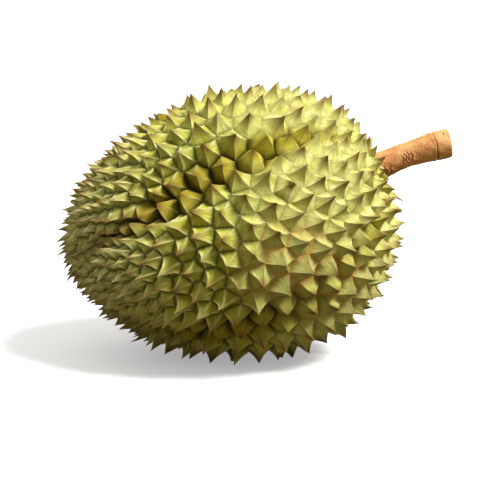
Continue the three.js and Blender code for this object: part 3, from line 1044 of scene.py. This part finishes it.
# %% Shared node groups
def new_group(name, inputs, output):
    """An empty group with named inputs, and what goes in and out of it."""
    group = bpy.data.node_groups.new(name, "ShaderNodeTree")
    for label, kind, value in inputs:
        socket = group.interface.new_socket(label, in_out="INPUT", socket_type=kind)
        if value is not None:
            socket.default_value = value
    group.interface.new_socket(output, in_out="OUTPUT", socket_type="NodeSocketFloat")
    given = group.nodes.new("NodeGroupInput").outputs
    return group, given, group.nodes.new("NodeGroupOutput").inputs


mottling, given, result = new_group(
    "mottling",
    (
        ("Place", "NodeSocketVector", None), ("Spots per Metre", "NodeSocketFloat", 40.0),
        ("Low", "NodeSocketFloat", 0.4), ("High", "NodeSocketFloat", 0.6),
    ),
    "Patches",
)
cloud = noise(mottling, given["Place"], given["Spots per Metre"], detail=4.0, distortion=0.4)
feed(mottling, result["Patches"], between(mottling, cloud, given["Low"], given["High"]))

fibres_group, given, result = new_group(
    "fibres",
    (
        ("Place", "NodeSocketVector", None), ("Across per Metre", "NodeSocketFloat", 900.0),
        ("Along per Metre", "NodeSocketFloat", 60.0),
    ),
    "Lines",
)
parts = fibres_group.nodes.new("ShaderNodeSeparateXYZ")
feed(fibres_group, parts.inputs[0], given["Place"])
drawn = fibres_group.nodes.new("ShaderNodeCombineXYZ")
for number, name in enumerate(("Across per Metre", "Along per Metre")):
    stretched = times(fibres_group, parts.outputs[number], given[name])
    feed(fibres_group, drawn.inputs[number], stretched)
feed(fibres_group, drawn.inputs[2], parts.outputs[2])
lines = noise(fibres_group, drawn.outputs[0], 1.0, detail=3.0)
feed(fibres_group, result["Lines"], between(fibres_group, lines, 0.3, 0.7))
print("shared effects:", mottling.name, fibres_group.name)


# %% Using them in a material
def use_group(tree, group, place, *values):
    """Places a shared effect in a material, with its other inputs in their order."""
    node = tree.nodes.new("ShaderNodeGroup")
    node.node_tree = group
    for socket, value in zip(node.inputs, (place, *values)):
        feed(tree, socket, value)
    return node.outputs[0]


def new_finish(name):
    """A new material, its tree, and the inputs of its surface."""
    material = bpy.data.materials.new(name)
    material.use_nodes = True
    return material, material.node_tree, material.node_tree.nodes["Principled BSDF"].inputs


def layer(tree, color, mask, share, paint):
    """Lays a paint over a colour where the mask says, as thickly as the share at most."""
    return blend(tree, times(tree, mask, share), color, paint)


def shaded_lines(tree, color, share, lines, shade):
    """Darkens a colour between the lines of a pattern."""
    return blend(tree, share, color, blend(tree, lines, shade, (1.0, 1.0, 1.0)), how="MULTIPLY")


def bumped(tree, height, distance, strength):
    """Fine relief that is too small for the mesh."""
    node = tree.nodes.new("ShaderNodeBump")
    node.inputs["Strength"].default_value = strength
    node.inputs["Distance"].default_value = distance
    feed(tree, node.inputs["Height"], height)
    return node.outputs["Normal"]


print("sockets of mottling:", [item.name for item in mottling.interface.items_tree])

# %% [markdown]
# ## The rind
#
# Fresh rind is a patchwork of olive and yellow-green. It turns to pale straw along the ridges and
# around the stem. The valleys between the thorns are painted deep green as shade, less so near the
# stem. Tips dry first and go brown. In the grooves it is deep mustard, with their valleys painted
# almost black as shade, and where the fruit has rubbed against others it is worn to a dull green
# with a net of russet cork in the valleys. Each of these is one mask over the next. They could be
# painted by hand, but masks that follow ridge, valley and tip fit all the thorns at once.

# %% Colours of the rind
LEAF_GREEN = (0.2, 0.26, 0.008)
OLIVE = (0.33, 0.27, 0.008)
YELLOW_GREEN = (0.52, 0.495, 0.05)
PALE_GREEN = (0.62, 0.64, 0.2)
STRAW = (0.95, 0.9, 0.53)
# painted shade: near-black green for the valleys between the thorns
VALLEY_SHADE = (0.045, 0.055, 0.001)
GROOVE_BRIGHT = (0.56, 0.48, 0.015)
# painted shade: near-black for the valleys in the grooves
GROOVE_SHADE = (0.06, 0.045, 0.001)
GROOVE_BROWN = (0.3, 0.2, 0.004)
RIDGE_BROWN = (0.42, 0.23, 0.06)
DRY_BROWN = (0.19, 0.095, 0.016)
RUSSET = (0.55, 0.32, 0.09)
WORN_GREEN = (0.42, 0.46, 0.15)
GREY_GREEN = (0.54, 0.57, 0.23)
FIBRE_SHADE = (0.4, 0.4, 0.2)
print("darkest", VALLEY_SHADE, "and palest", STRAW)

# %% Masks of the rind
rind, tree, surface = new_finish("husk_rind")
place = object_place(tree)
down_the_thorn = flat_place(tree, "fibres")
ridge, valley, rise, tip, groove, chance, along, russet = (stored(tree, name) for name in FACTS)
# Fibres: how many to the metre across and along. Patches: spots to the metre, low, high.
# In between(): nothing up to, all from, and after that the least and the most.
fibre_lines = use_group(tree, fibres_group, down_the_thorn, 1100.0, 90.0)
streaks = use_group(tree, fibres_group, down_the_thorn, 330.0, 55.0)
large = use_group(tree, mottling, place, 30.0, 0.4, 0.6)
small = use_group(tree, mottling, place, 130.0, 0.35, 0.7)
specks = use_group(tree, mottling, place, 700.0, 0.6, 0.72)
near_stem = between(tree, along, 0.6, 0.3)
near_blossom = between(tree, along, 0.6, 0.9, 0.0, 0.65)
in_groove = between(tree, groove, 0.35, 0.85)
print("masks of the rind:", len(tree.nodes), "nodes")

# %% Fresh rind: green, riper towards the tips and the stem
color = blend(tree, large, OLIVE, LEAF_GREEN)
ripe = work_out(tree, "ADD", rise, times(tree, chance, 0.5))
ripe = between(tree, ripe, 0.15, 1.0, 0.1, 1.0)
ripe = work_out(tree, "MAXIMUM", ripe, times(tree, near_stem, 0.85))
color = blend(tree, ripe, color, YELLOW_GREEN)
color = blend(tree, near_blossom, color, GREY_GREEN)
color = layer(tree, color, streaks, between(tree, large, 0.0, 1.0, 0.25, 0.6), PALE_GREEN)
pale = work_out(tree, "MAXIMUM", times(tree, near_stem, 0.45), times(tree, ridge, 0.8))
color = layer(tree, color, pale, between(tree, small, 0.0, 1.0, 0.45, 1.0), STRAW)
print("fresh rind:", len(tree.nodes), "nodes")

# %% Grooves and valleys: mustard and brown, with painted shade in the valleys
groove_color = blend(tree, near_stem, GROOVE_BROWN, GROOVE_BRIGHT)
color = layer(tree, color, in_groove, 0.7, groove_color)
# Painted shade: the valleys in the grooves darkened almost to black.
color = layer(tree, color, in_groove, work_out(tree, "POWER", valley, 0.5), GROOVE_SHADE)
# Painted shade: the valleys between the thorns darkened to deep green, less near the stem.
shaded = times(tree, valley, between(tree, near_stem, 0.0, 1.0, 1.0, 0.4))
color = layer(tree, color, shaded, 0.85, VALLEY_SHADE)
print("with grooves and valleys:", len(tree.nodes), "nodes")

# %% Wear: rubbed places, russet net, dry ridges and tips
color = layer(tree, color, russet, 0.6, WORN_GREEN)
net = between(tree, small, 0.5, 1.0, 0.0, 0.7)
net = work_out(tree, "MAXIMUM", work_out(tree, "POWER", valley, 0.6), net)
color = layer(tree, color, russet, net, RUSSET)
some_thorns = between(tree, chance, 0.3, 0.75, 0.1, 0.75)
ridge_dry = times(tree, work_out(tree, "POWER", ridge, 2.0), some_thorns)
color = layer(tree, color, ridge_dry, between(tree, rise, 0.25, 0.8), RIDGE_BROWN)
dry = times(tree, tip, between(tree, chance, 0.0, 0.9, 0.4, 1.0))
color = blend(tree, work_out(tree, "MINIMUM", dry, 0.95), color, DRY_BROWN)
color = shaded_lines(tree, color, 0.5, fibre_lines, FIBRE_SHADE)
color = layer(tree, color, specks, 0.3, DRY_BROWN)
print("with wear:", len(tree.nodes), "nodes")

# %% Gloss and relief of the rind
RIND_GLOSS = 0.06
RIND_RELIEF, RIND_RELIEF_STRENGTH = 0.5 * MM, 0.9

feed(tree, surface["Base Color"], color)
rough = work_out(tree, "ADD", small, dry)
feed(tree, surface["Roughness"], between(tree, rough, 0.0, 1.5, 0.55, 0.75))
surface["Specular IOR Level"].default_value = RIND_GLOSS
relief = work_out(tree, "ADD", times(tree, fibre_lines, 0.6), times(tree, small, 0.7))
feed(tree, surface["Normal"], bumped(tree, relief, RIND_RELIEF, RIND_RELIEF_STRENGTH))
husk.data.materials.append(rind)
print("rind:", len(tree.nodes), "nodes")

# %% [markdown]
# ## The bark
#
# The stem is warm orange-brown with paler patches and dark folds. It is darker red-brown on its
# lower side and towards its base, partly a redder bark and partly painted shade. Long fibres show
# through the bark, and the cut end is paler wood. It could be one wood pattern, but bark is
# patchy, so it is built like the rind, from the same two shared effects.

# %% Colours of the bark
BARK = (0.56, 0.24, 0.065)
BARK_PALE = (0.74, 0.42, 0.15)
# partly a redder bark, partly painted shade on the lower side and near the base
BARK_RED_SHADE = (0.33, 0.1, 0.03)
BARK_DARK = (0.24, 0.07, 0.016)
CRACK = (0.07, 0.02, 0.008)
CUT_WOOD = (0.5, 0.3, 0.13)
BARK_SHADE = (0.5, 0.42, 0.36)
BARK_BUMP, BARK_BUMP_STRENGTH = 0.3 * MM, 0.8
print("bark from", CRACK, "to", BARK_PALE)

# %% Bark finish
bark, tree, surface = new_finish("stem_bark")
place = object_place(tree)
crack, cut, red_shade = (stored(tree, name) for name in ("crack", "cut", "red_shade"))
long_fibres = use_group(tree, fibres_group, flat_place(tree, "OFBake"), 70.0, 9.0)
patches = use_group(tree, mottling, place, 70.0, 0.35, 0.68)
flecks = use_group(tree, mottling, place, 420.0, 0.45, 0.72)
color = blend(tree, patches, BARK, BARK_PALE)
# Painted shade, with some redder bark: red-brown on the lower side and near the base.
color = layer(tree, color, red_shade, 0.8, BARK_RED_SHADE)
color = layer(tree, color, flecks, 0.4, BARK_DARK)
color = shaded_lines(tree, color, 0.35, long_fibres, BARK_SHADE)
color = layer(tree, color, cut, 0.8, CUT_WOOD)
color = blend(tree, between(tree, crack, 0.1, 0.7, 0.0, 0.95), color, CRACK)
feed(tree, surface["Base Color"], color)
feed(tree, surface["Roughness"], between(tree, flecks, 0.0, 1.0, 0.6, 0.82))
relief = work_out(tree, "ADD", times(tree, long_fibres, 0.5), times(tree, flecks, -0.5))
feed(tree, surface["Normal"], bumped(tree, relief, BARK_BUMP, BARK_BUMP_STRENGTH))
stem.data.materials.append(bark)
print("bark:", len(tree.nodes), "nodes")

# %% [markdown]
# ## Floor and light
#
# The fruit lies on a plain white floor under one large soft light from the upper right, with a
# pale sky all round that is a little warm near the horizon. A sun lamp with a wide angle lights
# the far floor as evenly as the near one, which an area lamp wouldn't. Seen straight on, the
# floor glows faintly, which keeps the shadow light. For light that bounces off it, it counts as
# dark and warm, so that the undersides of the thorns keep their depth.

# %% Floor
FLOOR_SIZE = 8.0
FLOOR_SEEN = (0.8, 0.8, 0.82)
FLOOR_GLOW = (0.35, 0.35, 0.36)  # lightens the shadow
FLOOR_BOUNCE = (0.15, 0.13, 0.07)
NO_GLOW = (0.0, 0.0, 0.0)
FLOOR_ROUGHNESS, FLOOR_GLOSS = 0.9, 0.1

floor_mesh = bpy.data.meshes.new("floor")
corners = [(x * FLOOR_SIZE, y * FLOOR_SIZE, 0) for x, y in ((-1, -1), (1, -1), (1, 1), (-1, 1))]
floor_mesh.from_pydata(corners, [], [(0, 1, 2, 3)])
floor = bpy.data.objects.new("floor", floor_mesh)
bpy.context.collection.objects.link(floor)
sweep, tree, surface = new_finish("floor_white")
surface["Roughness"].default_value = FLOOR_ROUGHNESS
surface["Specular IOR Level"].default_value = FLOOR_GLOSS
seen = tree.nodes.new("ShaderNodeLightPath").outputs["Is Camera Ray"]
feed(tree, surface["Base Color"], blend(tree, seen, FLOOR_BOUNCE, FLOOR_SEEN))
feed(tree, surface["Emission Color"], blend(tree, seen, NO_GLOW, FLOOR_GLOW))
surface["Emission Strength"].default_value = 1.0
floor.data.materials.append(sweep)
print("floor:", 2 * FLOOR_SIZE, "metres across")

# %% Sky and sun
SKY_LOW = 0.26  # brightness at the horizon
SKY_HIGH = 0.9  # and straight above
SKY_WARM = (1.0, 0.9, 0.55)
SKY_WHITE = (1.0, 0.98, 0.93)
WARM_UP_TO, WHITE_FROM = 0.1, 0.7  # heights in the sky, 1 being straight above
SUN_STRENGTH = 5.6
SUN_COLOR = (1, 0.985, 0.95)
SUN_ANGLE = math.radians(20)
SUN_FROM = Vector((0.66, -0.34, 1.0))

world = bpy.data.worlds.new("studio")
bpy.context.scene.world = world
world.use_nodes = True
tree = world.node_tree
looking = tree.nodes.new("ShaderNodeSeparateXYZ")
tree.links.new(tree.nodes.new("ShaderNodeTexCoord").outputs["Generated"], looking.inputs[0])
whiteness = between(tree, looking.outputs["Z"], WARM_UP_TO, WHITE_FROM)
sky_color = blend(tree, whiteness, SKY_WARM, SKY_WHITE)
feed(tree, tree.nodes["Background"].inputs["Color"], sky_color)
brightness = between(tree, looking.outputs["Z"], 0.0, 1.0, SKY_LOW, SKY_HIGH)
feed(tree, tree.nodes["Background"].inputs["Strength"], brightness)

sun = bpy.data.lights.new("soft_sun", "SUN")
sun.energy = SUN_STRENGTH
sun.angle = SUN_ANGLE
sun.color = SUN_COLOR
sun_object = bpy.data.objects.new("soft_sun", sun)
sun_object.rotation_euler = SUN_FROM.to_track_quat("Z", "Y").to_euler()
bpy.context.collection.objects.link(sun_object)
bpy.context.scene.view_settings.view_transform = "Standard"
print("lights:", sun.name, "and", world.name)
